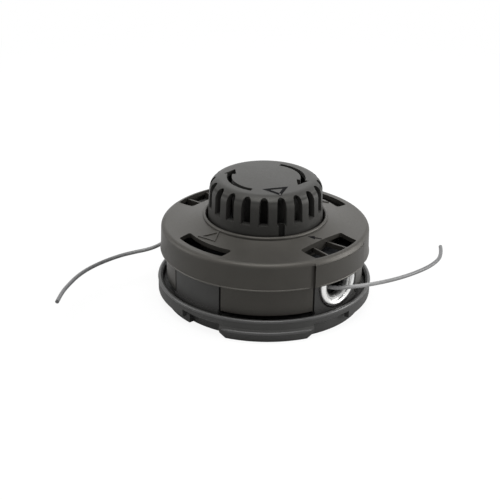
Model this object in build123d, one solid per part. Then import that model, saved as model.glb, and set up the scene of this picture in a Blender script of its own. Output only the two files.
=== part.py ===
from build123d import *
from math import cos, degrees, radians, sqrt, tan
import os

# Bump-feed head of a string trimmer, resting on its gearbox side with the tap knob up.
# Millimetres, +Z up along the drive axis, origin in the resting plane, line eyelets on the X axis.

# Clearances
fit_gap = 0.1            # pieces that sit in one another and stay still
run_gap = 0.3            # pieces that turn or slide past one another
skirt_gap = 0.4          # posts inside the cover's skirt
seam_angle = 1.1         # open seam between a post and a tongue, in degrees

# Housing: flange with its rim and lip, and a hollow foot ring with two lobes that faces the gearbox
drum_r = 51.0            # outside of the drum wall
flange_margin = 4.4      # the flange stands this far outside the drum wall
plate = 2.5
lip_height = 3.7
lip_width = 2.6
edge_chamfer = 0.8
rim_drop = 1.2           # the rim hangs this far below the plate
foot_height = 5.4
foot_step = 0.5          # the foot ring stands this far outside the drum wall
foot_inner_r = 38.0
foot_wall = 2.2
foot_cells = 16
relief_depth = 2.5       # the foot ring steps in beside each lobe
relief_angle = 23.0
lobe_angle = 50.0
lobe_draft = 1.6
lobe_step = 0.6          # the lobes flare out past the flange edge
lobe_flare = 3.2         # height of that flare
lobe_ramp = 3.0          # slope at the lobes' ends
undercut_angle = 24.0    # the rim is cut back on both sides of a lobe
undercut_height = 2.9
rib = 2.0                # stiffening ribs under the plate
rib_spread = 15.0        # ribs stand this many degrees to either side of a corner

# Hub, drive nut and shaft
foot_margin = 3.0        # the clamping face is this much wider than the hub
foot_recess = 3.6        # the clamping face lies this far above the resting plane
hub_wall = 2.6
hub_height = 25.0        # above the floor
nut_across = 17.0
nut_entry = 0.6          # the hub's bore lets the nut's corners pass
nut_length = 11.4
nut_wall = 3.0           # plastic between the nut's hexagon and the clamping face
spigot_r = 6.4
thread_bore_r = 4.35     # M10 x 1.25 left-hand

# Drum wall: posts on the housing, tongues on the cover
post_angle = 34.8
post_wall = 2.8
post_clear = 2.6         # from the posts' tops to the roof
tongue_lift = 1.1        # the tongues end this far above the lip
post_foot = 0.9          # ledge at the foot of each post
post_foot_rise = 1.0     # above the lip
hook_out = 1.4
hook_height = 3.4
hook_angle = 16.0
hook_below_top = 5.6
hook_gap = 0.2

# Line eyelets, turned from aluminium
eyelet_z = 23.4
eyelet_r = 12.2
eyelet_lip = 3.0         # width of the rounded lip
eyelet_flange = 1.2
eyelet_throat_r = 6.5
eyelet_throat = 1.0      # length of the straight throat
eyelet_barrel_r = 8.6
eyelet_inset = 2.2       # the seat lies this far inside the drum wall's face
eyelet_pad = 2.0
eyelet_recess = 0.8      # open ring around the eyelet's edge

# Cover: skirt, shoulder, dished roof, collar and windows
skirt_show = 14.5        # length of tongue left bare under the skirt
skirt_wall = 2.6
skirt_draft = 0.3
skirt_edge = 0.5         # broken lower edge
shoulder_round = 2.4
cover_wall = 2.2
collar_wall = 1.8
collar_step = 0.7
collar_rise = 4.8        # collar above the shoulder
roof_round = 1.4
boss_out = 0.6           # the skirt swells over each eyelet
boss_angle = 39.0
boss_wall = 1.6
boss_groove = 2.2        # groove beside the swelling, in degrees
groove_depth = 0.9
window_width = 30.5
window_land = 0.2        # roof left between the ratchet ring and an eyelet window
window_rim = 3.0         # roof left between an eyelet window and the skirt's face
small_window_width = 30.0
small_window_land = 4.0
small_window_rim = 5.0
window_corner = 1.2
window_rib = 1.0
window_rib_spread = 7.7
window_rib_sink = 1.0

# Spool, its ratchet and the winding
tap_travel = 6.0
tap_spare = 1.6          # space left under the spool when the knob is tapped home
spool_room = 3.2         # between the spool's flanges and the drum wall
spool_flange = 2.0
spool_divider = 1.2
line_room = 15.7         # between the two flanges
barrel_wall = 3.6
spring_room = 1.0        # between the thrust washer and the barrel
web_height = 10.6        # web above the spool's lower face
web = 2.2
neck_wall = 1.9
shoulder_ledge = 1.5     # the knob's seat is this much wider than its socket
shoulder_height = 6.8
neck_length = 14.0
key_width = 3.0
key_height = 5.0
key_out = 1.2
snap_rise = 8.0
snap_height = 2.0
snap_depth = 0.6
teeth = 12
tooth_height = 2.4
tooth_margin = 2.5       # from the collar's opening to the teeth
tooth_width = 5.0
tooth_angle = 26.0
tooth_play = 2.0         # free turn before two teeth meet, in degrees
ratchet_ring = 3.5       # height of the cover's ratchet ring below the shoulder
line_d = 2.0
turns_side_by_side = 3
winding_r = 35.0

# Spring and thrust washer
washer = 1.2
washer_width = 2.6
wire_d = 1.5
coils = 5.0

# Tap knob
knob_r = 29.7
knob_taper = 0.7
knob_gap = 0.8           # between the knob and the collar
knob_show = 19.4         # height of the knob's rim above the collar
knob_sink = 6.2
knob_round = 6.5
knob_crown = 0.5         # rise of the domed top
knob_wall = 2.6
socket_wall = 1.9
slots = 20
slot_width = 2.6
slot_flare = 14.0        # the slots widen outwards by this angle on each side
slot_foot = 5.8          # above the collar
slot_head = 1.1          # below the rim of the top
groove_width = 3.2
knob_groove_depth = 1.5
knob_angle = -30.6       # where the knob's long groove stands
arrow_land = 1.6         # from the socket to the arrows' middle line
arrow_width = 2.6
arrow_head = 6.4
arrow_head_angle = 22.0
arrow_tail = -38.4       # from the knob's long groove to the arrow's tail
arrow_sweep = 100.0

# Free ends of the cutting line, from inside the eyelet to the cut end
right_route = [
    (45.9, -4.7, 21.4), (50.6, -2.2, 21.4), (54.4, 3.2, 21.4), (60.5, 13.4, 21.5),
    (65.6, 26.8, 21.6), (68.2, 40.6, 21.6), (68.4, 54.4, 21.5), (64.8, 67.2, 21.4), (57.2, 76.0, 21.3)]
left_route = [
    (-45.9, 4.7, 21.4), (-50.6, 2.2, 21.4), (-54.6, -3.4, 21.2), (-55.6, -11.0, 20.7),
    (-53.0, -19.5, 20.1), (-50.9, -27.6, 19.6), (-52.0, -34.9, 19.0), (-55.2, -42.5, 18.7),
    (-57.4, -51.5, 18.6), (-57.5, -66.0, 18.6), (-54.4, -79.9, 18.7), (-47.7, -93.2, 18.8),
    (-43.2, -100.5, 18.8), (-37.9, -107.2, 18.8)]

# Heights that follow
floor_z = foot_height + plate
rim_z = foot_height - rim_drop
lip_top = floor_z + lip_height
tongue_z = lip_top + tongue_lift
skirt_z = tongue_z + skirt_show
spool_z = floor_z + tap_travel + tap_spare
spool_top = spool_z + 2 * spool_flange + line_room
ratchet_z = spool_top + tooth_height + run_gap
shoulder_z = ratchet_z + ratchet_ring
roof_z = shoulder_z - cover_wall
post_top = roof_z - post_clear
collar_top = shoulder_z + collar_rise
knob_z = collar_top - knob_sink
knob_top = collar_top + knob_show
web_z = spool_z + web_height
knob_seat_z = spool_top + shoulder_height
neck_top = knob_seat_z + neck_length
nut_z = foot_recess + nut_wall
hub_top = floor_z + hub_height

# Radii that follow
flange_r = drum_r + flange_margin
lip_inner_r = flange_r - lip_width
foot_ring_r = drum_r + foot_step
relief_r = foot_ring_r - relief_depth
lobe_r = flange_r + lobe_step
lobe_low_r = lobe_r - lobe_draft
skirt_inner_r = drum_r + skirt_gap
skirt_r = skirt_inner_r + skirt_wall
boss_r = skirt_r + boss_out
hub_bore_r = nut_across / sqrt(3) + nut_entry
hub_r = hub_bore_r + hub_wall
foot_r = hub_r + foot_margin
guide_r = hub_r + run_gap
neck_r = guide_r + neck_wall
socket_r = neck_r + fit_gap
socket_outer_r = socket_r + socket_wall
shoulder_r = socket_outer_r + shoulder_ledge
arrow_r = socket_outer_r + arrow_land
barrel_inner_r = guide_r + washer_width + spring_room
barrel_r = barrel_inner_r + barrel_wall
spool_r = drum_r - post_wall - spool_room
collar_r = knob_r + knob_gap
tooth_inner_r = collar_r + tooth_margin
tooth_outer_r = tooth_inner_r + tooth_width
window_outer_r = skirt_r - window_rim
seat_x = drum_r - eyelet_inset
tongue_angle = 90 - post_angle - 2 * seam_angle
tooth_pitch = 360 / teeth

eyelet_sides = (0, 180)
latch_sides = (90, 270)
corner_sides = (45, 135, 225, 315)
lobe_sides = (135, 315)


def outline(*edges):
    return make_face(Curve() + list(edges))


def turned(points, arc=360, middle=0):
    """Solid of revolution about Z from (radius, height) points, centred on the angle given."""
    face = make_face(Polyline(*[(r, 0, z) for r, z in points], close=True))
    return Rot(0, 0, middle - arc / 2) * revolve(face, Axis.Z, arc)


def ring(inner_r, outer_r, low, high, arc=360, middle=0):
    return turned([(inner_r, low), (outer_r, low), (outer_r, high), (inner_r, high)], arc, middle)


def disc(radius, low, high):
    return Pos(0, 0, low) * extrude(Circle(radius), high - low)


def spoke(width, inner_r, outer_r, low, high, angle=0):
    """Upright radial bar."""
    bar = Box(outer_r - inner_r, width, high - low, align=(Align.MIN, Align.CENTER, Align.MIN))
    return Rot(0, 0, angle) * Pos(inner_r, 0, low) * bar


def drilled(radius, near_x, far_x):
    """Round bar along X at the height of the eyelets."""
    return Pos(near_x, 0, eyelet_z) * Rot(0, 90, 0) * extrude(Circle(radius), far_x - near_x)


def all_around(angles, shape):
    return [Rot(0, 0, angle) * shape for angle in angles]


def lobe():
    """Stretch of foot that comes out flush with the flange: drafted below, flared above, sloping ends."""
    top_z = foot_height + lobe_flare
    body = turned([
        (relief_r, 0), (lobe_low_r, 0), (lobe_r, foot_height), (flange_r - lobe_step, top_z),
        (relief_r, top_z)], lobe_angle)
    end_edges = body.edges().filter_by(GeomType.LINE)
    body = chamfer(end_edges.filter_by(lambda edge: abs(edge.center().Z) < fit_gap), lobe_ramp)
    pocket_angle = lobe_angle - 2 * degrees((lobe_ramp + foot_wall) / lobe_low_r)
    return body - ring(relief_r, lobe_low_r - foot_wall, 0, foot_height, pocket_angle)


def foot_ring():
    """Hollow ring with cross walls that the head stands on, stepped in beside each lobe."""
    body = ring(foot_inner_r, foot_ring_r, 0, foot_height)
    beside_lobe = -(lobe_angle + relief_angle) / 2
    relief = ring(relief_r, foot_ring_r, 0, foot_height, relief_angle, beside_lobe)
    body -= all_around(lobe_sides, relief)
    body += all_around(lobe_sides, lobe())
    cell_pitch = 360 / foot_cells
    cell_angle = cell_pitch - degrees(foot_wall / ((foot_inner_r + relief_r) / 2))
    cell = ring(foot_inner_r + foot_wall, relief_r - foot_wall, 0, foot_height, cell_angle)
    return body - all_around([index * cell_pitch for index in range(foot_cells)], cell)


def flange():
    """Plate with a chamfered rim, a rounded lip, and an undercut on both sides of each lobe."""
    body = turned([
        (0, foot_height), (lip_inner_r, foot_height), (lip_inner_r, rim_z),
        (flange_r - edge_chamfer, rim_z), (flange_r, rim_z + edge_chamfer), (flange_r, lip_top),
        (lip_inner_r, lip_top), (lip_inner_r, floor_z), (0, floor_z)])
    rim = body.edges().filter_by(GeomType.CIRCLE).group_by(Axis.Z)[-1]
    body = fillet(rim, 0.4 * lip_width)
    outside_r = flange_r + lobe_step
    undercut_z = foot_height + undercut_height
    undercut = turned([
        (foot_ring_r, rim_z), (outside_r, rim_z), (outside_r, undercut_z), (flange_r, undercut_z),
        (foot_ring_r, foot_height)], undercut_angle)
    for side in lobe_sides:
        beside_lobe = (lobe_angle + undercut_angle) / 2
        body -= all_around((side - beside_lobe, side + beside_lobe), undercut)
    return body


def post():
    """Upright stretch of drum wall on a narrow ledge."""
    foot = ring(drum_r - post_wall, drum_r + post_foot, foot_height, lip_top + post_foot_rise, post_angle)
    return foot + ring(drum_r - post_wall, drum_r, foot_height, post_top, post_angle)


def eyelet_post():
    """Post with a flat round seat and a hole for the eyelet."""
    recess_r = eyelet_r + eyelet_recess
    body = post() + drilled(recess_r, seat_x - eyelet_pad, seat_x)
    body -= drilled(recess_r, seat_x, drum_r + eyelet_pad)
    return body - drilled(eyelet_barrel_r + fit_gap, seat_x - 2 * eyelet_pad, drum_r)


def latch_post():
    """Springy post with a snap hook that faces outwards."""
    hook_z = post_top - hook_below_top
    hook = turned([
        (drum_r - post_wall / 2, hook_z), (drum_r + hook_out, hook_z),
        (drum_r, hook_z + hook_height), (drum_r - post_wall / 2, hook_z + hook_height)], hook_angle)
    return post() + hook


def housing():
    body = flange() + foot_ring()
    body += disc(foot_r, foot_recess, floor_z)
    for side in corner_sides:
        for spread in (-rib_spread, rib_spread):
            body += spoke(rib, 0, foot_inner_r + foot_wall / 2, foot_recess, floor_z, side + spread)
    body += disc(hub_r, floor_z, hub_top)
    body -= disc(spigot_r + fit_gap, foot_recess, nut_z)
    body -= hexagon(nut_across + 2 * fit_gap, nut_z, nut_z + nut_length)
    body -= disc(hub_bore_r, nut_z + nut_length, hub_top)
    body += all_around(eyelet_sides, eyelet_post())
    body += all_around(latch_sides, latch_post())
    return body


def hexagon(across, low, high):
    return Pos(0, 0, low) * extrude(RegularPolygon(across / 2, 6, major_radius=False), high - low)


def drive_nut():
    """Long hexagon nut with a round spigot that ends flush with the clamping face."""
    body = hexagon(nut_across, nut_z, nut_z + nut_length) + disc(spigot_r, foot_recess, nut_z)
    return body - disc(thread_bore_r, foot_recess, nut_z + nut_length)


def eyelet():
    """Bell-mouthed bush: a round lip on a flange, a funnel, and a barrel through the post."""
    inner_x = seat_x - eyelet_pad
    face_x = seat_x + eyelet_flange
    throat_x = inner_x + eyelet_throat
    crown_r = eyelet_r - eyelet_lip / 2
    mouth_r = eyelet_r - eyelet_lip
    face = outline(
        Polyline(
            (throat_x, 0, eyelet_throat_r), (inner_x, 0, eyelet_throat_r), (inner_x, 0, eyelet_barrel_r),
            (seat_x, 0, eyelet_barrel_r), (seat_x, 0, eyelet_r), (face_x, 0, eyelet_r)),
        ThreePointArc((face_x, 0, eyelet_r), (face_x + eyelet_lip / 2, 0, crown_r), (face_x, 0, mouth_r)),
        TangentArc((throat_x, 0, eyelet_throat_r), (face_x, 0, mouth_r), tangent=(1, 0, 0)))
    return Pos(0, 0, eyelet_z) * revolve(face, Axis.X)


def cover_shell():
    """Skirt, rounded shoulder, dished roof and beaded collar as one turned shell."""
    top_r = skirt_r - skirt_draft
    roof_r = top_r - shoulder_round
    inner_roof_r = skirt_inner_r - roof_round
    bead_r = collar_r + collar_wall
    bead_z = collar_top - collar_wall / 2
    foot_z = bead_z - collar_step
    under_z = foot_z - cover_wall
    bend_z = shoulder_z - shoulder_round
    turn = shoulder_round * (1 - cos(radians(45)))
    crown_r = collar_r + collar_wall / 2
    face = outline(
        Line((skirt_r - skirt_edge, 0, skirt_z), (skirt_r, 0, skirt_z + skirt_edge)),
        Line((skirt_r, 0, skirt_z + skirt_edge), (top_r, 0, bend_z)),
        ThreePointArc((top_r, 0, bend_z), (top_r - turn, 0, shoulder_z - turn), (roof_r, 0, shoulder_z)),
        TangentArc((roof_r, 0, shoulder_z), (bead_r, 0, foot_z), tangent=(-1, 0, 0)),
        Line((bead_r, 0, foot_z), (bead_r, 0, bead_z)),
        ThreePointArc((bead_r, 0, bead_z), (crown_r, 0, collar_top), (collar_r, 0, bead_z)),
        Line((collar_r, 0, bead_z), (collar_r, 0, under_z)),
        Line((collar_r, 0, under_z), (bead_r, 0, under_z)),
        TangentArc((inner_roof_r, 0, roof_z), (bead_r, 0, under_z), tangent=(-1, 0, 0)),
        Line((inner_roof_r, 0, roof_z), (skirt_inner_r, 0, roof_z - roof_round)),
        Line((skirt_inner_r, 0, roof_z - roof_round), (skirt_inner_r, 0, skirt_z)),
        Line((skirt_inner_r, 0, skirt_z), (skirt_r - skirt_edge, 0, skirt_z)))
    return revolve(face, Axis.Z)


def tongue():
    """Wall panel that hangs inside the skirt and closes the drum between two posts."""
    root_z = skirt_z + edge_chamfer
    root_r = skirt_inner_r + skirt_wall / 2
    inner_r = drum_r - post_wall
    return turned([
        (inner_r, tongue_z), (drum_r, tongue_z), (drum_r, root_z), (root_r, root_z),
        (root_r, roof_z), (inner_r, roof_z + cover_wall / 4)], tongue_angle)


def swelling():
    """Stretch of skirt that stands out over an eyelet."""
    return ring(skirt_r - skirt_wall / 2, boss_r, skirt_z, shoulder_z - shoulder_round, boss_angle)


def window(inner_r, inner_x, outer_r, width):
    """Hole through the roof with parallel ends, between an arc or a straight line and an outer arc."""
    low = roof_z - post_clear / 2
    hole = ring(inner_r, outer_r, low, collar_top) & spoke(width, inner_x, outer_r + width, low, collar_top)
    corner = min(window_corner, (outer_r - max(inner_r, inner_x)) / 4)
    return fillet(hole.edges().filter_by(Axis.Z), corner)


def window_bar(angle):
    """Thin bar across an eyelet window, with a foot that stands on the post below."""
    end_r = window_outer_r + window_rib
    top_z = shoulder_z - window_rib_sink
    bar = spoke(window_rib, tooth_outer_r - window_rib, end_r, ratchet_z, top_z, angle)
    return bar + spoke(window_rib, drum_r - post_wall, end_r, post_top, top_z, angle)


def above_ramp(low):
    """Block above a ramp that falls clockwise by one tooth height over one tooth's length."""
    run = (tooth_inner_r + tooth_outer_r) / 2 * tan(radians(tooth_angle / 2))
    start = low - tooth_height / 2
    end = low + 3 * tooth_height / 2
    reach = 2 * tooth_height
    corners = [(-2 * run, start), (2 * run, end), (2 * run, end + reach), (-2 * run, start + reach)]
    face = make_face(Polyline(*[(0, y, z) for y, z in corners], close=True))
    return Pos(tooth_inner_r / 2, 0, 0) * extrude(face, tooth_outer_r, dir=(1, 0, 0))


def spool_tooth():
    """Saw tooth: a face that holds the spool and a ramp that lets it be wound clockwise."""
    blank = ring(tooth_inner_r, tooth_outer_r, spool_top, spool_top + tooth_height, tooth_angle)
    return blank - above_ramp(spool_top)


def cover_tooth():
    """The same saw tooth seen from the roof, one running gap above the spool's."""
    blank = ring(tooth_inner_r, tooth_outer_r, spool_top + run_gap, ratchet_z, tooth_angle)
    tooth = blank & above_ramp(spool_top + run_gap)
    return Rot(0, 0, tooth_angle + tooth_play - tooth_pitch) * tooth


def every_tooth(tooth):
    return all_around([index * tooth_pitch for index in range(teeth)], tooth)


def cover():
    body = cover_shell() + all_around(eyelet_sides, swelling())
    boss_inner_r = boss_r - boss_wall
    body -= all_around(eyelet_sides, ring(drum_r, boss_inner_r, skirt_z, roof_z, post_angle))
    groove_middle = (boss_angle + boss_groove) / 2
    groove = ring(skirt_r - groove_depth, boss_r, skirt_z, shoulder_z - shoulder_round, boss_groove)
    for side in eyelet_sides:
        body -= all_around((side - groove_middle, side + groove_middle), groove)
    body += all_around(corner_sides, tongue())
    body += ring(tooth_inner_r, tooth_outer_r, ratchet_z, shoulder_z + cover_wall / 3)
    body += every_tooth(cover_tooth())
    straight_x = tooth_outer_r + window_land
    small_r = tooth_outer_r + small_window_land
    body -= all_around(eyelet_sides, window(collar_r, straight_x, window_outer_r, window_width))
    body -= all_around(
        latch_sides, window(small_r, collar_r, skirt_r - small_window_rim, small_window_width))
    for side in eyelet_sides:
        body += window_bar(side - window_rib_spread) + window_bar(side + window_rib_spread)
    pocket_z = post_top - hook_below_top - hook_gap
    pocket = ring(
        drum_r, drum_r + hook_out + run_gap, pocket_z, pocket_z + hook_height + hook_gap + run_gap,
        hook_angle + 2 * seam_angle)
    return body - all_around(latch_sides, pocket)


def spool():
    top_flange_z = spool_top - spool_flange
    middle_z = spool_z + spool_flange + (line_room - spool_divider) / 2
    body = ring(barrel_inner_r, barrel_r, spool_z, spool_top)
    body += ring(barrel_inner_r, spool_r, spool_z, spool_z + spool_flange)
    body += ring(barrel_inner_r, spool_r, middle_z, middle_z + spool_divider)
    body += ring(guide_r, spool_r, top_flange_z, spool_top)
    body += ring(guide_r, barrel_r, web_z, web_z + web)
    body += ring(guide_r, neck_r, web_z, neck_top)
    body += ring(guide_r, shoulder_r, spool_top, knob_seat_z)
    for side in corner_sides:
        body += spoke(
            key_width, guide_r + neck_wall / 2, neck_r + key_out, knob_seat_z - key_height / 2,
            knob_seat_z + key_height, side + knob_angle)
    snap_z = knob_seat_z + snap_rise
    body -= ring(neck_r - snap_depth, neck_r + snap_depth, snap_z, snap_z + snap_height)
    return body + every_tooth(spool_tooth())


def winding(low):
    """Layers of line in one half of the spool, with the outer turns showing."""
    room = (line_room - spool_divider) / 2
    pitch = (room - 2 * fit_gap) / turns_side_by_side
    inner_r = barrel_r + fit_gap
    heights = [low + fit_gap + turn * pitch for turn in range(turns_side_by_side + 1)]
    bumps = [
        ThreePointArc(
            (winding_r, 0, start), (winding_r + line_d / 2, 0, (start + end) / 2), (winding_r, 0, end))
        for start, end in zip(heights, heights[1:])]
    face = outline(
        *bumps,
        Line((winding_r, 0, heights[-1]), (inner_r, 0, heights[-1])),
        Line((inner_r, 0, heights[-1]), (inner_r, 0, heights[0])),
        Line((inner_r, 0, heights[0]), (winding_r, 0, heights[0])))
    return revolve(face, Axis.Z)


def thrust_washer():
    top = web_z - fit_gap
    return ring(guide_r, guide_r + washer_width, top - washer, top)


def spring():
    """Compression spring between the floor and the thrust washer."""
    low = floor_z + fit_gap + wire_d / 2
    high = web_z - 2 * fit_gap - washer - wire_d / 2
    coil = Helix((high - low) / coils, high - low, guide_r + washer_width / 2)
    path = Pos(0, 0, low) * coil
    section = Plane(origin=path @ 0, z_dir=path % 0) * Circle(wire_d / 2)
    return sweep(section, path, is_frenet=True)


def dome(inset, low, high):
    """Tapered round body with a rounded shoulder and a slightly domed top."""
    base_r = knob_r - inset
    top_r = base_r - knob_taper
    bend = knob_round - inset
    turn = bend * (1 - cos(radians(45)))
    rim_r = top_r - bend
    crown_z = high + knob_crown
    face = outline(
        Line((0, 0, low), (base_r, 0, low)),
        Line((base_r, 0, low), (top_r, 0, high - bend)),
        ThreePointArc((top_r, 0, high - bend), (top_r - turn, 0, high - turn), (rim_r, 0, high)),
        TangentArc((0, 0, crown_z), (rim_r, 0, high), tangent=(1, 0, 0)),
        Line((0, 0, crown_z), (0, 0, low)))
    return revolve(face, Axis.Z)


def side_slot():
    """Upright slot through the knob's wall, with a round head."""
    low = collar_top + slot_foot
    high = knob_top - slot_head
    half = slot_width / 2
    face = Pos(0, (low + high - half) / 2) * Rectangle(slot_width, high - half - low)
    face += Pos(0, high - half) * Circle(half)
    return extrude(Plane.YZ.offset(knob_r - 2 * knob_wall) * face, 3 * knob_wall, taper=-slot_flare)


def arrow(tail):
    """Curved arrow cut right through the top, pointing clockwise."""
    shaft_angle = arrow_sweep - arrow_head_angle
    inner_r = arrow_r - arrow_width / 2
    low = knob_top - 2 * knob_wall
    high = knob_top + knob_wall
    shaft = ring(inner_r, inner_r + arrow_width, low, high, shaft_angle, tail - shaft_angle / 2)
    base = tail - shaft_angle
    wide = arrow_head / 2
    corners = [(arrow_r - wide, base), (arrow_r + wide, base), (arrow_r, base - arrow_head_angle)]
    points = [Vector(r, 0, low).rotate(Axis.Z, angle) for r, angle in corners]
    return shaft + extrude(make_face(Polyline(*points, close=True)), high - low, dir=(0, 0, 1))


def knob():
    """Hollow tap knob: slotted wall, long grooves, arrow cut-outs and a socket for the spool's neck."""
    body = dome(0, knob_z, knob_top) - dome(knob_wall, knob_z, knob_top - knob_wall)
    body += ring(socket_r, socket_outer_r, knob_seat_z, knob_top - knob_wall / 2)
    snap_z = knob_seat_z + snap_rise
    body += ring(
        socket_r - snap_depth, socket_r + socket_wall / 2, snap_z + fit_gap, snap_z + snap_height - fit_gap)
    for side in corner_sides:
        body -= spoke(
            key_width + 2 * fit_gap, socket_r - socket_wall, neck_r + key_out + fit_gap, knob_seat_z,
            knob_seat_z + key_height + fit_gap, side)
    body -= all_around([index * 360 / slots for index in range(slots)], side_slot())
    groove_r = knob_r - knob_taper - knob_groove_depth
    groove = spoke(groove_width, groove_r, knob_r + knob_wall, knob_z, knob_top)
    body -= all_around(eyelet_sides, groove)
    body -= all_around(eyelet_sides, arrow(arrow_tail))
    return Rot(0, 0, knob_angle) * body


def corner_radii(points):
    """Largest even arcs for a route: each takes 0.45 of the shorter run beside its corner."""
    radii = []
    for before, corner, after in zip(points, points[1:], points[2:]):
        arriving = Vector(*corner) - Vector(*before)
        leaving = Vector(*after) - Vector(*corner)
        half_turn = radians(arriving.get_angle(leaving)) / 2
        radii.append(0.45 * min(arriving.length, leaving.length) / tan(half_turn))
    return radii


def free_line(points):
    radii = corner_radii(points)
    path = FilletPolyline(*points, radius=radii)
    section = Plane(origin=path @ 0, z_dir=path % 0) * Circle(line_d / 2)
    tube = sweep(section, path)
    expected = section.area * path.length
    print("line", round(path.length, 1), "mm, radii", [round(radius, 1) for radius in radii])
    print("line volume", round(tube.volume, 2), "of", round(expected, 2))
    return tube


eyelet_right = eyelet()
lower_room = spool_z + spool_flange
upper_room = lower_room + (line_room + spool_divider) / 2
pieces = {
    "housing": housing(),
    "drive_nut": drive_nut(),
    "eyelet_right": eyelet_right,
    "eyelet_left": Rot(0, 0, 180) * eyelet_right,
    "cover": cover(),
    "spool": spool(),
    "winding_lower": winding(lower_room),
    "winding_upper": winding(upper_room),
    "thrust_washer": thrust_washer(),
    "spring": spring(),
    "knob": knob(),
    "line_right": free_line(right_route),
    "line_left": free_line(left_route),
}

os.makedirs("parts", exist_ok=True)
for name, solid in pieces.items():
    export_step(solid, f"parts/{name}.step")
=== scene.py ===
# %% [markdown]
# A bump-feed trimmer head: a drum that flings two ends of nylon line, with a knob that is tapped
# on the ground to let out more. It lies on its gearbox side, knob up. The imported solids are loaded
# first, and everything after that is finish, line, marks, light and camera in the same frame.

import bpy
import numpy as np
from mathutils import Matrix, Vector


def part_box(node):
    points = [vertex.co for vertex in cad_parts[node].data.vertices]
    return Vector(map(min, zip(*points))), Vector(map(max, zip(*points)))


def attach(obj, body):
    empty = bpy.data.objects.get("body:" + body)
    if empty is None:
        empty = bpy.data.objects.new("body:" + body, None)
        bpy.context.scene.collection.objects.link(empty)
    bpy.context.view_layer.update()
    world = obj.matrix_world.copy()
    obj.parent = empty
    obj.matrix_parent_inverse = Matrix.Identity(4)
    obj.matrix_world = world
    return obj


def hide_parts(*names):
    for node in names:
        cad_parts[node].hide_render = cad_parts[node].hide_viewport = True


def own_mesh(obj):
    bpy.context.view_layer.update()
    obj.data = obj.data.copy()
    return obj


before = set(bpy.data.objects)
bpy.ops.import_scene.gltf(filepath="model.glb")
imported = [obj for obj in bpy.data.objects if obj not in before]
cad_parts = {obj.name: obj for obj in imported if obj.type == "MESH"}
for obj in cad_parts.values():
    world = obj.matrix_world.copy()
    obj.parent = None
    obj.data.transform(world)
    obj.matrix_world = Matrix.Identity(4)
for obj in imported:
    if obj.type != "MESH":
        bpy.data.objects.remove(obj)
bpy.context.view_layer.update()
scene = bpy.context.scene
MM = 0.001
print("solids:", sorted(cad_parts))

# %% [markdown]
# A product shot like this one is taken with a long lens, a little above the object. The camera is
# placed from its distance, its turn round the object and its tilt, so each can be read and changed
# by itself. The small yaw and roll are how the head sits in the frame.

# %% Camera
camera_turn = np.radians(43.0)
camera_back = 635.04 * MM
camera_height = 319.07 * MM
camera_pitch = 0.43422
camera_yaw = -0.01199
camera_roll = 0.01651
camera_lens = 96.62
camera_sensor = 36.0


def turned_about_z(vector, angle):
    """The vector turned about Z: x and y mix by the angle's cosine and sine, and z stays."""
    c, s = np.cos(angle), np.sin(angle)
    return np.array([[c, -s, 0], [s, c, 0], [0, 0, 1]]) @ np.asarray(vector, float)


def camera_axes(pitch, yaw, roll):
    """Right, up and forward of a camera that looks along +Y before it is tilted."""
    forward = np.array([np.sin(yaw) * np.cos(pitch), np.cos(yaw) * np.cos(pitch), -np.sin(pitch)])
    level = np.array([np.cos(yaw), -np.sin(yaw), 0.0])
    raised = np.cross(level, forward)
    right = level * np.cos(roll) + raised * np.sin(roll)
    up = raised * np.cos(roll) - level * np.sin(roll)
    return right, up, forward


def looking(right, up, forward, stand):
    """Matrix of a camera or lamp: its right, its up and its back are the columns, then its place."""
    columns = np.column_stack([right, up, -forward, stand])
    return Matrix(np.vstack([columns, (0, 0, 0, 1)]).tolist())


level_axes = camera_axes(camera_pitch, camera_yaw, camera_roll)
turned_axes = [turned_about_z(axis, camera_turn) for axis in level_axes]
stand = turned_about_z((0, -camera_back, camera_height), camera_turn)
camera_data = bpy.data.cameras.new("photo_camera")
camera_data.lens = camera_lens
camera_data.sensor_width = camera_sensor
camera_data.clip_start = 0.01
camera = bpy.data.objects.new("photo_camera", camera_data)
scene.collection.objects.link(camera)
camera.matrix_world = looking(*turned_axes, stand)
scene.camera = camera
print("camera at", np.round(stand, 3))

# %% [markdown]
# Shader maths reads best as plain expressions. A small class wraps a node's output, so that
# 0.4 + 0.2 * grain adds the Math nodes by itself. A second class holds the nodes of a material or a
# world, and its one method for any node takes the node's settings first and its inputs after. A
# third one adds the shader and the object coordinates of a material.

# %% Materials as expressions


class Flow:
    """A number, colour or vector that flows out of a node."""

    def __init__(self, nodes, socket):
        self.nodes = nodes
        self.socket = socket

    def maths(self, operation, first, second):
        """A Math node on two numbers or flows."""
        return self.nodes.node("ShaderNodeMath", {"operation": operation}, {0: first, 1: second})

    def __add__(self, other):
        return self.maths("ADD", self, other)

    def __sub__(self, other):
        return self.maths("SUBTRACT", self, other)

    def __rsub__(self, other):
        return self.maths("SUBTRACT", other, self)

    def __mul__(self, other):
        return self.maths("MULTIPLY", self, other)

    __radd__ = __add__
    __rmul__ = __mul__


class Wiring:
    """The nodes of a material or a world."""

    def __init__(self, owner):
        owner.use_nodes = True
        self.tree = owner.node_tree

    def feed(self, socket, value):
        """Link a flow to a socket, or set the socket to a plain value."""
        if isinstance(value, Flow):
            self.tree.links.new(value.socket, socket)
        else:
            socket.default_value = value

    def node(self, kind, settings, inputs, out=0):
        """Add a node of that kind and give back the flow out of one of its outputs."""
        made = self.tree.nodes.new(kind)
        for name, value in settings.items():
            setattr(made, name, value)
        for name, value in inputs.items():
            self.feed(made.inputs[name], value)
        return Flow(self, made.outputs[out])

    def vector(self, operation, first, second):
        """A vector worked out from two vectors."""
        return self.node("ShaderNodeVectorMath", {"operation": operation}, {0: first, 1: second})

    def length(self, vector):
        """How long a vector is."""
        return self.node("ShaderNodeVectorMath", {"operation": "LENGTH"}, {0: vector}, 1)


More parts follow.
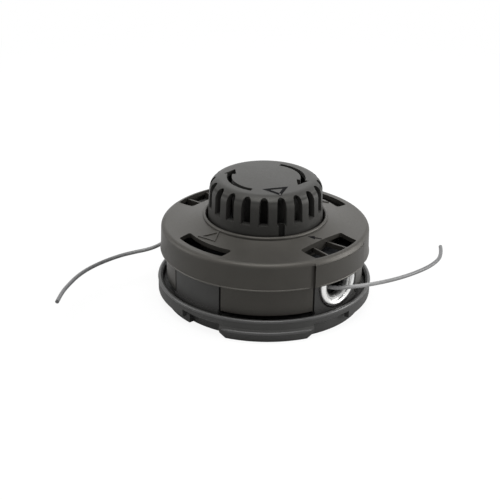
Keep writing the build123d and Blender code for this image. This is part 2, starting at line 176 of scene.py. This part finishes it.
class Finish(Wiring):
    """A material being made, with its shader and its object coordinates."""

    def __init__(self, name):
        self.material = bpy.data.materials.new(name)
        super().__init__(self.material)
        self.tree.nodes.clear()
        self.output = self.tree.nodes.new("ShaderNodeOutputMaterial")
        self.shader = self.tree.nodes.new("ShaderNodeBsdfPrincipled")
        self.tree.links.new(self.shader.outputs[0], self.output.inputs["Surface"])
        self.place = self.node("ShaderNodeTexCoord", {}, {}, "Object")

    def shade(self, **inputs):
        """Set or link the shader's own sockets, with _ for a space in their names."""
        for name, value in inputs.items():
            self.feed(self.shader.inputs[name.replace("_", " ")], value)
        return self.material

    def noise(self, size, detail=2.0, roughness=0.5):
        """Cloudy noise with features of about that size, from 0 to 1."""
        return self.node("ShaderNodeTexNoise", {}, {
            "Vector": self.place, "Scale": 1 / size, "Detail": detail, "Roughness": roughness})

    def height(self):
        """How far up the axis a point lies."""
        return self.node("ShaderNodeSeparateXYZ", {}, {0: self.place}, 2)

    def from_axis(self):
        """How far a point lies from the drive axis: the length of its x and y."""
        return self.length(self.vector("MULTIPLY", self.place, (1, 1, 0)))

    def clamp(self, value, low, high):
        """The value spread from low..high to 0..1 and cut off there."""
        return self.node("ShaderNodeMapRange", {}, {"Value": value, "From Min": low, "From Max": high})

    def mix(self, factor, first, second):
        """A colour between two colours."""
        return self.node("ShaderNodeMix", {"data_type": "RGBA"}, {0: factor, 6: first, 7: second}, 2)

    def bump(self, height, depth, strength):
        """A normal that leans as if the surface rose by height times depth."""
        return self.node("ShaderNodeBump", {}, {"Height": height, "Distance": depth, "Strength": strength})


def toned(colour, share=1.0):
    """A colour times a share, as the four numbers that a colour socket takes."""
    return (*(share * channel for channel in colour), 1)


print("expressions ready:", [kind.__name__ for kind in (Flow, Wiring, Finish)])

# %% [markdown]
# The mouldings are glass-filled nylon: nearly black, with a fine spark-eroded texture that gives a
# soft sheen. The colour wanders a little where the melt flowed, and the texture is a shallow bump,
# so that the sheen breaks up in a close view. The cover is a warmer black than the housing. Inside
# the knob's slots the colour is painted darker and the surface made rougher: painted shade for the slots.

# %% Moulded nylon
flow_size = 14 * MM
speck_size = 0.9 * MM
grain_size = 0.32 * MM
grain_depth = 0.03 * MM
painted_shade_edge = 1 * MM
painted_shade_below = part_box("knob")[1][2] - 2.5 * MM
knob_painted_shade_r = 28.6 * MM


def moulded_nylon(name, colour, sheen, gloss, tint=(1.0, 1.0, 1.0), painted_shade_inside=0.0):
    """Two close shades over cloudy noise; sheen is the roughness and gloss the specular level.

    Nearer to the axis than that radius and below the top, painted shade darkens both and adds roughness.
    """
    finish = Finish(name)
    flow = finish.noise(flow_size, 3.0)
    speck = finish.noise(speck_size, 2.0)
    grain = finish.noise(grain_size, 3.0, 0.6)
    tone = finish.clamp(0.75 * flow + 0.25 * speck, 0.3, 0.7)
    shade = finish.mix(tone, toned(colour, 0.84), toned(colour, 1.18))
    rough = sheen + 0.1 * (flow - 0.5) + 0.14 * (speck - 0.5)
    # Painted shade in the knob's slots: darker colour and more roughness inside the radius, below the top.
    if painted_shade_inside:
        below_top = 1 - finish.clamp(finish.height(), painted_shade_below - painted_shade_edge, painted_shade_below)
        inside = 1 - finish.clamp(finish.from_axis(), painted_shade_inside - painted_shade_edge, painted_shade_inside)
        painted_shade = below_top * inside
        shade = finish.mix(painted_shade, shade, toned(colour, 0.15))
        rough = rough + 0.4 * painted_shade
    return finish.shade(
        Base_Color=shade,
        Specular_IOR_Level=gloss,
        Specular_Tint=toned(tint),
        Roughness=rough,
        Normal=finish.bump(grain, grain_depth, 0.6))


faintly_warm = (1.0, 0.995, 0.97)
warm = (1.0, 0.985, 0.93)
warmer = (1.0, 0.955, 0.87)
nylon_cover = moulded_nylon(
    "cover_nylon", (0.022, 0.0207, 0.0184), sheen=0.47, gloss=0.40, tint=warmer)
nylon_housing = moulded_nylon(
    "housing_nylon", (0.023, 0.0228, 0.0221), sheen=0.58, gloss=0.40, tint=faintly_warm)
nylon_knob = moulded_nylon(
    "knob_nylon", (0.018, 0.0176, 0.0164), sheen=0.47, gloss=0.31, tint=warm, painted_shade_inside=knob_painted_shade_r)
# The spool is painted darker and bluer than the other mouldings: its own black, and painted shade for what
# shows through the windows.
shaded_spool_nylon = moulded_nylon("spool_nylon_painted_shade", (0.008, 0.0085, 0.0095), sheen=0.5, gloss=0.15)
# The beads' finish is lighter than the walls': a painted highlight on the rolled edges.
bead_highlight_housing = moulded_nylon("bead_highlight_housing", (0.034, 0.0337, 0.0328), sheen=0.4, gloss=0.5)
bead_highlight_cover = moulded_nylon(
    "bead_highlight_cover", (0.036, 0.0345, 0.0312), sheen=0.4, gloss=0.48, tint=warmer)
# Near-black and matte: painted shade for the cut signs, where a groove would lie in shade.
cut_shadow = moulded_nylon("cut_shadow", (0.0035, 0.0035, 0.004), sheen=0.8, gloss=0.05)
print("nylon shades:", [shade.name for shade in (nylon_cover, nylon_housing, nylon_knob, shaded_spool_nylon)])

# %% [markdown]
# The eyelets are turned from aluminium. The tool leaves rings round the bore and the lip is bright.
# Inside the funnel the colour is painted darker in streaks that run from the bore outwards: painted
# shade in the funnel, which the line's rubbing also leaves a little rougher. The distance from the
# bore's axis gives the rings and tells the lip from the funnel, and noise that is read at the direction
# from the axis alone stays the same along each streak.

# %% Metals


def turned_metal(name, colour, satin, across, centre_z, ring_pitch, ring_depth, shade_and_wear_radius, shade_and_wear_share):
    """Rings around an axis: the distance from it, over the pitch, drives a sine wave and a bump.

    The vector across is 1 on the two coordinates that lie across the axis, and 0 on the third.
    """
    finish = Finish(name)
    away = finish.vector("SUBTRACT", finish.place, (0, 0, centre_z))
    flat = finish.vector("MULTIPLY", away, across)
    radius = finish.length(flat)
    rings = finish.node("ShaderNodeMath", {"operation": "SINE"}, {0: (2 * np.pi / ring_pitch) * radius})
    heading = finish.node("ShaderNodeVectorMath", {"operation": "NORMALIZE"}, {0: flat})
    streak = finish.node("ShaderNodeTexNoise", {}, {"Vector": heading, "Scale": 5.0, "Detail": 3.0})
    cloud = finish.noise(2.5 * MM, 3.0)
    # Painted shade near the axis, inside the given radius: the colour darkens in streaks, and the surface
    # is rougher there.
    shade_and_wear = shade_and_wear_share * (1 - finish.clamp(radius, 0.8 * shade_and_wear_radius, shade_and_wear_radius))
    painted_funnel_shade = shade_and_wear * finish.clamp(0.8 * streak + 0.2 * cloud, -0.2, 0.45)
    return finish.shade(
        Base_Color=finish.mix(painted_funnel_shade, toned(colour), toned(colour, 0.1)),
        Metallic=1.0,
        Roughness=satin + 0.12 * (cloud - 0.5) + 0.02 * rings + 0.15 * shade_and_wear,
        Normal=finish.bump(rings, ring_depth, 0.5))


eyelet_low, eyelet_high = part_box("eyelet_right")
eyelet_height = float(np.mean([eyelet_low[2], eyelet_high[2]]))
aluminium = turned_metal(
    "turned_aluminium", (0.80, 0.80, 0.79), satin=0.34, across=(0, 1, 1), centre_z=eyelet_height,
    ring_pitch=0.5 * MM, ring_depth=0.003 * MM, shade_and_wear_radius=9.4 * MM, shade_and_wear_share=1.0)
steel = turned_metal(
    "spring_steel", (0.56, 0.55, 0.53), satin=0.3, across=(1, 1, 0), centre_z=0.0,
    ring_pitch=0.4 * MM, ring_depth=0.004 * MM, shade_and_wear_radius=5.4 * MM, shade_and_wear_share=0.5)
print("eyelet axis at", round(eyelet_height / MM, 2), "mm")

# %% [markdown]
# Trimmer line is extruded nylon, grey and a little cloudy, with a soft gloss. Faint streaks run through
# it, so one noise moves both its colour and its gloss. The line is pale near the drum and darkens with
# the distance from it, to a plain, darker colour at the free end.

# %% Line
line_pale_to = 60 * MM
line_darker_from = 84 * MM


def extruded_line(name, colour, plain):
    """Two close shades over noise, and further from the drum the darker plain colour over both."""
    finish = Finish(name)
    streak = finish.noise(1.6 * MM, 4.0, 0.6)
    cloud = finish.noise(9 * MM, 2.0)
    tone = finish.clamp(0.6 * streak + 0.4 * cloud, 0.3, 0.7)
    streaked = finish.mix(tone, toned(colour, 0.72), toned(colour, 1.1))
    away = 0.9 * finish.clamp(finish.from_axis(), line_pale_to, line_darker_from)
    return finish.shade(
        Base_Color=finish.mix(away, streaked, toned(plain)),
        Specular_IOR_Level=0.25,
        Roughness=0.34 + 0.16 * (streak - 0.5),
        Normal=finish.bump(streak, 0.05 * MM, 0.4))


nylon_line = extruded_line("nylon_line", (0.26, 0.26, 0.26), (0.1, 0.1, 0.102))
print("line finish:", nylon_line.name)

# %% [markdown]
# Each solid that is shown as it is keeps its mesh and takes the finish of what it is made of. The
# nut, the spring and the free line ends are made again further down.

# %% Dress the solids
dressing = {
    "cover": nylon_cover, "housing": nylon_housing, "knob": nylon_knob, "spool": shaded_spool_nylon,
    "eyelet_right": aluminium, "eyelet_left": aluminium, "thrust_washer": steel,
    "winding_lower": nylon_line, "winding_upper": nylon_line}
for node, material in dressing.items():
    solid = bpy.data.objects[node]
    solid.data.materials.clear()
    solid.data.materials.append(material)
print("dressed:", len(dressing), "solids")

# %% [markdown]
# The two ends of line come out of the eyelets and keep the curl they had on the spool, so they lie
# in slow curves with a bare cut end. Each is one NURBS curve on the route's points, with a round
# bevel of the line's own thickness.

# %% Free line ends
line_diameter = 2.0 * MM
right_route = [
    (45.9, -4.7, 21.4), (50.6, -2.2, 21.4), (54.4, 3.2, 21.4), (60.5, 13.4, 21.5),
    (65.6, 26.8, 21.6), (68.2, 40.6, 21.6), (68.4, 54.4, 21.5), (64.8, 67.2, 21.4), (57.2, 76.0, 21.3)]
left_route = [
    (-45.9, 4.7, 21.4), (-50.6, 2.2, 21.4), (-54.6, -3.4, 21.2), (-55.6, -11.0, 20.7),
    (-53.0, -19.5, 20.1), (-50.9, -27.6, 19.6), (-52.0, -34.9, 19.0), (-55.2, -42.5, 18.7),
    (-57.4, -51.5, 18.6), (-57.5, -66.0, 18.6), (-54.4, -79.9, 18.7), (-47.7, -93.2, 18.8),
    (-43.2, -100.5, 18.8), (-37.9, -107.2, 18.8)]


def line_end(name, node, route, length):
    """One open NURBS spline on the route's control points, with a round bevel."""
    curve = bpy.data.curves.new(name, "CURVE")
    curve.dimensions = "3D"
    curve.bevel_depth = line_diameter / 2
    curve.bevel_resolution = 6
    curve.use_fill_caps = True
    spline = curve.splines.new("NURBS")
    spline.points.add(len(route) - 1)
    points = np.column_stack([np.array(route) * MM, np.ones(len(route))])
    spline.points.foreach_set("co", points.ravel())
    spline.order_u = 3
    spline.use_endpoint_u = True
    spline.resolution_u = 12
    curve.materials.append(nylon_line)
    piece = bpy.data.objects.new(name, curve)
    scene.collection.objects.link(piece)
    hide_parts(node)
    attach(piece, "housing")
    print(name, "%.1f mm long" % (length / MM))


line_end("line_end_right", "line_right", right_route, 0.0905)
line_end("line_end_left", "line_left", left_route, 0.1222)

# %% [markdown]
# Every other piece that is made here is a grid of points in millimetres: rows run along the piece, and
# columns run round it. Neighbours in the grid make the faces. The columns always close on themselves;
# the rows do so for a ring, and otherwise each end gets one flat face.

# %% Pieces from grids of points


def grid_faces(rows, columns, closed):
    """Quads from each point to the next row, the next column and back, with the ends last."""
    index = np.arange(rows * columns).reshape(rows, columns)
    onward = np.roll(index, -1, axis=0)
    quads = np.stack([index, onward, np.roll(onward, -1, axis=1), np.roll(index, -1, axis=1)], axis=-1)
    if closed:
        return quads.reshape(-1, 4).tolist()
    return quads[:-1].reshape(-1, 4).tolist() + [index[0].tolist(), index[-1, ::-1].tolist()]


def grid_piece(name, points, closed, material, body, crease=0):
    """Mesh over a grid, smooth across edges that bend less than the crease, in degrees."""
    rows, columns = points.shape[:2]
    mesh = bpy.data.meshes.new(name)
    mesh.from_pydata((points * MM).reshape(-1, 3).tolist(), [], grid_faces(rows, columns, closed))
    mesh.materials.append(material)
    if crease:
        mesh.shade_smooth()
        mesh.set_sharp_from_angle(angle=np.radians(crease))
    piece = bpy.data.objects.new(name, mesh)
    scene.collection.objects.link(piece)
    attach(piece, body)
    print(name, len(mesh.polygons), "faces")
    return piece


def about_axis(radius, height, turn):
    """Points from their distance from the drive axis, their height and their turn about it."""
    radius, height, turn = np.broadcast_arrays(radius, height, turn)
    return np.stack([radius * np.cos(turn), radius * np.sin(turn), height], axis=-1)


def round_section(sides):
    """Angles of a circle's points, as columns."""
    return np.linspace(0, 2 * np.pi, sides, endpoint=False)[None, :]


print("grid of 4 rows and 3 columns:", len(grid_faces(4, 3, closed=False)), "faces")

# %% [markdown]
# The tops carry a few moulded signs. They are drawn flat, in plan, and then draped: each point takes
# its height from the formula of the surface below it. The knob's top is a shallow crown that turns
# over at its rim, and the cover's roof is dished.

# %% Surfaces that carry the signs
knob_crown_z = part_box("knob")[1][2] / MM
knob_crown = 0.5
knob_flat_r = 22.5
knob_round = 6.5
roof_sphere = 58.0
roof_rim_r = 51.3
roof_rim_z = 41.4


def knob_top(x, y):
    """Height of the knob: a shallow parabola, then a quarter round beyond the flat's radius."""
    r = np.hypot(x, y)
    crown = knob_crown_z - knob_crown * (r / knob_flat_r) ** 2
    fall = np.sqrt(np.maximum(knob_round ** 2 - np.maximum(r - knob_flat_r, 0) ** 2, 0))
    return np.where(r < knob_flat_r, crown, knob_crown_z - knob_crown - knob_round + fall)


def cover_roof(x, y):
    """Height of the roof: an arc that is level at the rim and climbs inwards."""
    r = np.hypot(x, y)
    return roof_rim_z + roof_sphere - np.sqrt(roof_sphere ** 2 - (roof_rim_r - r) ** 2)


print("knob's top at %.1f mm, roof's rim at %.1f mm" % (knob_top(0, 0), cover_roof(roof_rim_r, 0)))

# %% [markdown]
# Each sign is a low bar between two rails, with the second rail to the left of the first. A pointer is
# a triangle inside a triangle. An arrow has a straight shaft, and a head that runs out at its tip.

# %% A bar between two rails
bar_root = 0.25
side_steps = 14
shaft_steps = 10
head_steps = 8
tip_width = 0.06


def draped_bar(first, second, surface, proud):
    """At each step four corners: the first rail low and high, then the second rail high and low."""
    rails = np.stack([first, first, second, second], axis=1)
    step = np.array([-bar_root, proud, proud, -bar_root])
    height = surface(rails[..., 0], rails[..., 1]) + step
    return np.concatenate([rails, height[..., None]], axis=-1)


def along_sides(corners):
    """Points spaced evenly along the sides of a closed outline, from each corner towards the next."""
    share = np.linspace(0, 1, side_steps, endpoint=False)[None, :, None]
    following = np.roll(corners, -1, axis=0)
    return (corners[:, None] * (1 - share) + following[:, None] * share).reshape(-1, 2)


def pointer_rails(tip, base_middle, base_width, stroke):
    """A triangle from its tip and base, and the same triangle drawn in by the stroke on all sides.

    The inner one shrinks towards the centre of the inscribed circle, whose radius is twice the
    triangle's area over the length of its sides.
    """
    tip, base_middle = np.array(tip), np.array(base_middle)
    long = np.linalg.norm(tip - base_middle)
    ahead = (tip - base_middle) / long
    across = base_width / 2 * np.array([-ahead[1], ahead[0]])
    outer = np.array([tip, base_middle + across, base_middle - across])
    sides = np.linalg.norm(np.roll(outer, -1, axis=0) - np.roll(outer, 1, axis=0), axis=1)
    centre = sides @ outer / sides.sum()
    inscribed_r = base_width * long / sides.sum()
    inner = centre + (outer - centre) * (1 - stroke / inscribed_r)
    return along_sides(outer), along_sides(inner)


def arrow_rails(tail, tip, shaft_width, head_width, head_length):
    """Half widths along a straight line: the shaft's, then the head's, which runs out at the tip."""
    tail, tip = np.array(tail), np.array(tip)
    long = np.linalg.norm(tip - tail)
    ahead = (tip - tail) / long
    neck = 1 - head_length / long
    share = np.concatenate([np.linspace(0, neck, shaft_steps), np.linspace(neck, 1, head_steps)])
    shaft = np.full(shaft_steps, shaft_width)
    half = np.concatenate([shaft, np.linspace(head_width, tip_width, head_steps)]) / 2
    middle = tail + np.outer(share * long, ahead)
    across = np.outer(half, (-ahead[1], ahead[0]))
    return middle - across, middle + across


print("bars:", 3 * side_steps, "steps round a pointer,", shaft_steps + head_steps, "along an arrow")

# %% [markdown]
# The knob has one pointer, cut in. The cover has a raised pointer beside each small window and a cut
# arrow beside each eyelet's window, and the back half repeats the front half: half a turn about the
# axis changes the signs of x and y. A cut sign is a dark bar nearly flush with its surface, because
# the solid itself stays as it is: painted shade in place of the shade inside a cut groove.

# %% Signs on the knob and the cover
cut_proud = 0.05
knob_cut_proud = 0.06
raised_proud = 0.45
pointer_heading = np.radians(-29.5)
pointer_ahead = np.array([np.cos(pointer_heading), np.sin(pointer_heading)])
knob_pointer = pointer_rails(
    tip=24.9 * pointer_ahead, base_middle=15.5 * pointer_ahead, base_width=13.4, stroke=1.7)
window_pointer = pointer_rails(
    tip=(-8.4, -40.2), base_middle=(0.6, -35.4), base_width=8.2, stroke=0.9)
eyelet_arrow = arrow_rails(
    tail=(37.8, 1.2), tip=(32.8, -3.8), shaft_width=0.8, head_width=2.6, head_length=3.6)
grid_piece(
    "knob_pointer", draped_bar(*knob_pointer, knob_top, knob_cut_proud), closed=True,
    material=cut_shadow, body="spool")
for side, half_turn in (("front", 1), ("back", -1)):
    first, second = (half_turn * rail for rail in window_pointer)
    grid_piece(
        "window_pointer_" + side, draped_bar(first, second, cover_roof, raised_proud), closed=True,
        material=nylon_cover, body="housing")
    first, second = (half_turn * rail for rail in eyelet_arrow)
    grid_piece(
        "eyelet_arrow_" + side, draped_bar(first, second, cover_roof, cut_proud), closed=False,
        material=cut_shadow, body="housing")

# %% [markdown]
# Moulded edges are never sharp. The lip, the skirt's foot and the lobes end in a thin rolled bead, and
# these beads draw the light lines round the drum. They take a lighter, glossier finish than the walls:
# a painted highlight along each bead. Each one is a circle carried along an arc about the axis; where
# the arc is open, the circle shrinks at both ends, so that the bead runs out into the wall.

# %% Rolled edges
bead_sides = 12
run_out = 4
all_smooth = 180


def rolled_edge(name, arc_r, arc_z, bead_r, middle, span, material):
    """Torus: turn by turn about the axis, a small circle of points out of and above the arc."""
    closed = span == 360
    steps = max(int(span), 24)
    turn = np.radians(middle + np.linspace(-span / 2, span / 2, steps, endpoint=not closed))[:, None]
    from_end = np.minimum(np.arange(steps), np.arange(steps)[::-1])[:, None]
    thickness = bead_r * (1 if closed else np.sqrt(np.clip((from_end + 0.1) / run_out, 0, 1)))
    swing = round_section(bead_sides)
    points = about_axis(arc_r + thickness * np.cos(swing), arc_z + thickness * np.sin(swing), turn)
    grid_piece(name, points, closed, material, "housing", crease=all_smooth)


lip_top = 11.6
flange_r = 55.4
lobe_z = 5.2
skirt_z = 27.2
skirt_r = 54.0
boss_r = 54.6
lip_bead = 1.05
lip_bead_in = 0.85
lip_bead_drop = 0.6
lobe_bead = 0.85
lobe_bead_out = 0.3
skirt_bead = 0.45
lobe_span = 48
skirt_span = 136.4
boss_bead_span = 38.4
bead_sink = 0.2
rolled_edge(
    "lip_edge", flange_r - lip_bead_in, lip_top - lip_bead_drop, lip_bead, middle=0, span=360,
    material=bead_highlight_housing)
for side, middle in (("front", -45), ("back", 135)):
    rolled_edge(
        "lobe_edge_" + side, flange_r + lobe_bead_out, lobe_z, lobe_bead, middle, lobe_span,
        bead_highlight_housing)
for side, middle in (("front", -90), ("back", 90)):
    rolled_edge(
        "skirt_edge_" + side, skirt_r - bead_sink, skirt_z + skirt_bead, skirt_bead, middle, skirt_span,
        bead_highlight_cover)
for side, middle in (("right", 0), ("left", 180)):
    rolled_edge(
        "boss_edge_" + side, boss_r - bead_sink, skirt_z + skirt_bead, skirt_bead, middle, boss_bead_span,
        bead_highlight_cover)

# %% [markdown]
# Above each eyelet the skirt swells out a little and flows into the rounded shoulder without an edge.
# A thin saddle closes that step: in section a quadratic curve that leaves the swelling upright and
# meets the shoulder's round, with its back inside the wall, carried along the swelling's arc.

# %% Saddles over the eyelets
shoulder_round = 2.4
shoulder_r = 51.3
shoulder_bend_z = 39.0
saddle_drop = 2.6
saddle_bend = 0.1
saddle_back_r = shoulder_r + 1.0
saddle_back_rise = 0.6
saddle_points = 14
saddle_steps = 40
saddle_span = 39.0


def saddle_section():
    """Curve from the swelling to 45 degrees up the shoulder, then two corners inside the wall."""
    start = np.array([boss_r, shoulder_bend_z - saddle_drop])
    bend = np.array([boss_r, shoulder_bend_z + saddle_bend])
    slope = shoulder_round * np.sqrt(0.5)
    end = np.array([shoulder_r + slope, shoulder_bend_z + slope])
    share = np.linspace(0, 1, saddle_points)[:, None]
    curve = (1 - share) ** 2 * start + 2 * share * (1 - share) * bend + share ** 2 * end
    back_top = (saddle_back_r, shoulder_bend_z + saddle_back_rise)
    back_foot = (saddle_back_r, shoulder_bend_z - saddle_drop)
    return np.vstack([curve, back_top, back_foot])


saddle_r, saddle_z = saddle_section().T
for side, middle in (("right", 0), ("left", 180)):
    saddle_turn = np.radians(middle + np.linspace(-saddle_span / 2, saddle_span / 2, saddle_steps))
    grid_piece(
        "eyelet_saddle_" + side, about_axis(saddle_r, saddle_z, saddle_turn[:, None]), closed=False,
        material=nylon_cover, body="housing", crease=40)

# %% [markdown]
# The drive nut is pressed into the hub, and its left-hand thread takes the gearbox shaft. The solid
# has a plain bore at the thread's crests, so here the nut is made again as one closed surface: at each
# turn the points run up the spigot and the hexagon, over the top and down the thread. Along the thread
# the radius follows a saw wave of height plus turn, which makes it climb the left-hand way.

# %% Threaded drive nut
nut_low, nut_high = (corner[2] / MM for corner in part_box("drive_nut"))
nut_across = 17.0
nut_chamfer = 0.7
corner_chamfer = 0.3
spigot_top = 6.6
spigot_radius = 6.4
crest_radius = 4.35
root_radius = 5.0
thread_pitch = 1.25
thread_flank = 1.6
thread_land = 0.3
entry_flare = 0.4
turn_steps = 96
rows_per_turn = 12


def threaded_nut():
    """Radius over turn and height: outside a circle or a hexagon, inside crest plus a saw wave."""
    turn = np.linspace(0, 2 * np.pi, turn_steps, endpoint=False)[:, None]
    thread_rows = int((nut_high - nut_low) / thread_pitch * rows_per_turn)
    thread_z = np.linspace(nut_low, nut_high, thread_rows)[None, ::-1]
    phase = (thread_z / thread_pitch + turn / (2 * np.pi)) % 1
    wave = np.clip(thread_flank * np.abs(2 * phase - 1) - thread_land, 0, 1)
    funnel = root_radius + entry_flare - np.minimum(thread_z - nut_low, nut_high - thread_z)
    thread_r = np.maximum(crest_radius + (root_radius - crest_radius) * wave, funnel)
    hexagon = nut_across / 2 / np.cos((turn % (np.pi / 3)) - np.pi / 6)
    chamfered = np.minimum(hexagon, nut_across / 2 + corner_chamfer)
    spigot = np.full_like(hexagon, spigot_radius)
    outside_r = np.hstack([spigot, spigot, chamfered, hexagon, hexagon, chamfered])
    outside_z = np.array([[
        nut_low, spigot_top, spigot_top, spigot_top + nut_chamfer, nut_high - nut_chamfer, nut_high]])
    return about_axis(np.hstack([outside_r, thread_r]), np.hstack([outside_z, thread_z]), turn)


nut = grid_piece(
    "threaded_nut", threaded_nut(), closed=True, material=steel, body="housing")
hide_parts("drive_nut")

# %% [markdown]
# A spring under the thrust washer holds the spool up, and it shortens by the whole tap when the knob is
# pressed. The solid can't do that, so the coil is made again here: a circle carried along a helix, with
# its own outward and upward directions at each step.

# %% Spring
coil_low, coil_high = (np.array(corner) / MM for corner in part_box("spring"))
coil_length = coil_high[2] - coil_low[2]
coil_wire = 1.5
coil_turns = 5
coil_steps = 48
coil_sides = 14


def coil_points():
    """Helix: radius held, height in step with the turn; the wire's circle is outward and across."""
    turn = np.linspace(0, 2 * np.pi * coil_turns, coil_turns * coil_steps + 1)[:, None]
    coil_r = coil_high[0] - coil_wire / 2
    climb = (coil_length - coil_wire) / (2 * np.pi * coil_turns)
    outward = about_axis(1, 0, turn)
    ahead = about_axis(coil_r, climb, turn + np.pi / 2)
    across = np.cross(outward, ahead / np.hypot(coil_r, climb))
    middle = about_axis(coil_r, coil_low[2] + coil_wire / 2 + climb * turn, turn)
    swing = round_section(coil_sides)[..., None]
    return middle + coil_wire / 2 * (np.cos(swing) * outward + np.sin(swing) * across)


coil = grid_piece(
    "coil_spring", coil_points(), closed=False, material=steel, body="housing",
    crease=all_smooth)
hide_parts("spring")
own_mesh(coil)

# %% [markdown]
# The head stands on a white sweep. A camera exposed for black nylon burns the paper out to plain
# white. A strength of 1 gives that white to the rays of the camera, of reflections and of glass, and
# all other rays meet paper that only fills in the shadows. The floor keeps a part of its own shading:
# little of it where the camera looks, which leaves a faint shadow near the head and none further
# out, and most of it in reflections, so that the foot of the drum doesn't shine where it meets the paper.

# %% White floor and white surroundings
floor_reach = 3.0
shadow_reach = 0.5
burnt_near = 0.9
burnt_mirrored = 0.2
paper_fill = 0.55
paper_seen = 0.85
fill_level = 0.3
white = (1, 1, 1)


def ray_kinds(nodes):
    """1 for a ray from the camera, and 1 for one from a reflection or from glass, as two flows."""
    kinds = ("Is Camera Ray", "Is Glossy Ray", "Is Transmission Ray")
    camera_ray, glossy_ray, glass_ray = (nodes.node("ShaderNodeLightPath", {}, {}, kind) for kind in kinds)
    return camera_ray, glossy_ray + glass_ray


floor_corners = floor_reach * np.array([(-1, -1, 0), (1, -1, 0), (1, 1, 0), (-1, 1, 0)])
floor_mesh = bpy.data.meshes.new("floor")
floor_mesh.from_pydata(floor_corners.tolist(), [], [(0, 1, 2, 3)])
floor = bpy.data.objects.new("floor", floor_mesh)
scene.collection.objects.link(floor)
paper = Finish("white_paper")
seen, mirrored = ray_kinds(paper)
paper.shade(Base_Color=paper.mix(seen, toned(white, paper_fill), toned(white, paper_seen)), Roughness=0.9)
paper_white = paper.node("ShaderNodeEmission", {}, {"Color": toned(white), "Strength": 1.0})
far_out = paper.clamp(paper.length(paper.place), shadow_reach / 2, shadow_reach)
burnt = burnt_near + (1 - burnt_near) * far_out
paper_look = paper.node("ShaderNodeMixShader", {}, {
    0: burnt * seen + burnt_mirrored * mirrored, 1: Flow(paper, paper.shader.outputs[0]), 2: paper_white})
paper.feed(paper.output.inputs["Surface"], paper_look)
floor_mesh.materials.append(paper.material)

world = bpy.data.worlds.new("white_studio")
scene.world = world
studio = Wiring(world)
seen, mirrored = ray_kinds(studio)
strength = studio.node("ShaderNodeMapRange", {}, {"Value": seen + mirrored, "To Min": fill_level})
background = studio.tree.nodes["Background"]
studio.feed(background.inputs["Strength"], strength)
studio.feed(background.inputs["Color"], toned(white))
print("fill level", fill_level)

# %% [markdown]
# Soft boxes do the shaping. The broad one hangs overhead, a little towards the camera, so that the top
# faces are bright and the front falls away. The one at the right is nearly as strong and lights the
# eyelet; the left and back ones are weak and only pick out the skirt's turn.

# %% Lamps
lamp_aim = np.array([0, 0, 0.03])


def soft_lamp(name, place, size, power):
    """Square area lamp that faces the drum, placed as seen from the camera: right, away and up."""
    data = bpy.data.lights.new(name, "AREA")
    data.size = size
    data.energy = power
    lamp = bpy.data.objects.new(name, data)
    scene.collection.objects.link(lamp)
    spot = turned_about_z(place, camera_turn)
    ahead = lamp_aim - spot
    ahead /= np.linalg.norm(ahead)
    side = np.cross(ahead, (0, 0, 1.0))
    side /= np.linalg.norm(side)
    lamp.matrix_world = looking(side, np.cross(side, ahead), ahead, spot)
    print(name, power, "W")


soft_lamp("top_lamp", (0.0, -0.2, 1.15), size=0.8, power=13)
soft_lamp("back_lamp", (0.0, 1.0, 0.5), size=0.9, power=1.8)
soft_lamp("right_lamp", (1.0, 0.05, 0.42), size=0.6, power=11)
soft_lamp("left_lamp", (-1.0, 0.05, 0.42), size=0.6, power=4)
scene.view_settings.view_transform = "Standard"
